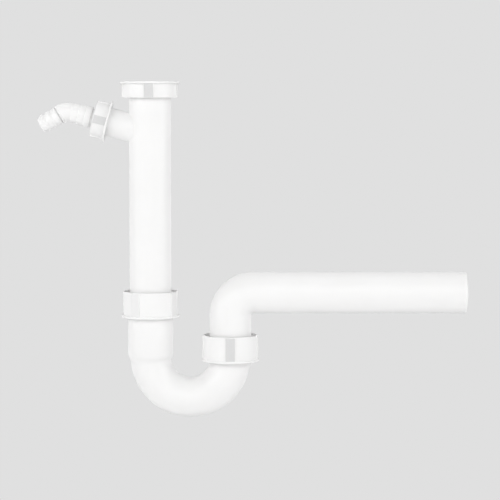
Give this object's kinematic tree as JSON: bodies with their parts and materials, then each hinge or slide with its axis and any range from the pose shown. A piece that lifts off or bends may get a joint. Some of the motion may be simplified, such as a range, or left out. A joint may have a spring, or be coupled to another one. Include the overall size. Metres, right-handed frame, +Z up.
{
  "type": "tubular trap",
  "caption": "White tubular trap: upright tail pipe with a slanted appliance branch and barbed hose nozzle, U-bend and long outlet pipe, joined by union nuts over seals.",
  "frame": {"origin": "centre of the top gasket's upper face, where the waste's rim seats and its thread starts", "axes": "+Z up the tail pipe, out of the top nut's mouth; +X towards the outlet pipe's open end"},
  "size_m": [0.4124, 0.057, 0.3236],
  "materials": {
    "pipe_white": "moulded satin",
    "nut_white": "moulded satin",
    "nozzle_white": "moulded satin",
    "seal_rubber": "matt",
    "slip_ring": "matt"
  },
  "bodies": {
    "tail": {"tail_pipe": "pipe_white", "top_gasket": "seal_rubber"},
    "top_nut": {"top_nut": "nut_white"},
    "nozzle_seal": {"nozzle_seal": "seal_rubber"},
    "branch_nut": {"branch_nut": "nut_white"},
    "hose_nozzle": {"hose_nozzle": "nozzle_white"},
    "inlet_wedge_seal": {"inlet_wedge_seal": "seal_rubber"},
    "u_bend": {"u_bend": "pipe_white"},
    "inlet_slip_ring": {"inlet_slip_ring": "slip_ring"},
    "inlet_nut": {"inlet_nut": "nut_white"},
    "outlet_slip_ring": {"outlet_slip_ring": "slip_ring"},
    "outlet_nut": {"outlet_nut": "nut_white"},
    "outlet_wedge_seal": {"outlet_wedge_seal": "seal_rubber"},
    "outlet_bend": {"outlet_bend": "pipe_white"}
  },
  "joints": [
    {"name": "top_nut_spin", "type": "hinge", "parent": "tail", "child": "top_nut", "pos_m": [0, 0, 0], "axis": [0, 0, 1], "continuous": true},
    {"name": "nozzle_seal_slide", "type": "slide", "parent": "tail", "child": "nozzle_seal", "axis": [-0.9681, 0, 0.2504], "range_m": [0, 0.005]},
    {"name": "branch_nut_turn", "type": "hinge", "parent": "nozzle_seal", "child": "branch_nut", "pos_m": [0, 0, -0.04152], "axis": [-0.9681, 0, 0.2504], "range_deg": [0, 720]},
    {"name": "nozzle_swivel", "type": "hinge", "parent": "nozzle_seal", "child": "hose_nozzle", "pos_m": [0, 0, -0.04152], "axis": [-0.9681, 0, 0.2504], "continuous": true},
    {"name": "inlet_telescope", "type": "slide", "parent": "tail", "child": "inlet_wedge_seal", "axis": [0, 0, 1], "range_m": [-0.025, 0.01]},
    {"name": "bend_swivel", "type": "hinge", "parent": "inlet_wedge_seal", "child": "u_bend", "pos_m": [0, 0, 0], "axis": [0, 0, 1], "continuous": true},
    {"name": "inlet_slip_ring_slide", "type": "slide", "parent": "u_bend", "child": "inlet_slip_ring", "axis": [0, 0, 1], "range_m": [0, 0.006]},
    {"name": "inlet_nut_turn", "type": "hinge", "parent": "inlet_slip_ring", "child": "inlet_nut", "pos_m": [0, 0, 0], "axis": [0, 0, 1], "range_deg": [0, 720]},
    {"name": "outlet_slip_ring_slide", "type": "slide", "parent": "u_bend", "child": "outlet_slip_ring", "axis": [0, 0, 1], "range_m": [0, 0.006]},
    {"name": "outlet_nut_turn", "type": "hinge", "parent": "outlet_slip_ring", "child": "outlet_nut", "pos_m": [0.077, 0, 0], "axis": [0, 0, 1], "range_deg": [0, 720]},
    {"name": "outlet_swivel", "type": "hinge", "parent": "u_bend", "child": "outlet_wedge_seal", "pos_m": [0.077, 0, 0], "axis": [0, 0, 1], "range_deg": [-135, 135]},
    {"name": "outlet_telescope", "type": "slide", "parent": "outlet_wedge_seal", "child": "outlet_bend", "axis": [0, 0, 1], "range_m": [0, 0.008]}
  ],
  "couplings": [
    {"joint": "nozzle_seal_slide", "follows": "branch_nut_turn", "m_per_rad": 0.00039788},
    {"joint": "inlet_slip_ring_slide", "follows": "inlet_nut_turn", "m_per_rad": 0.00047746},
    {"joint": "outlet_slip_ring_slide", "follows": "outlet_nut_turn", "m_per_rad": 0.00047746}
  ]
}
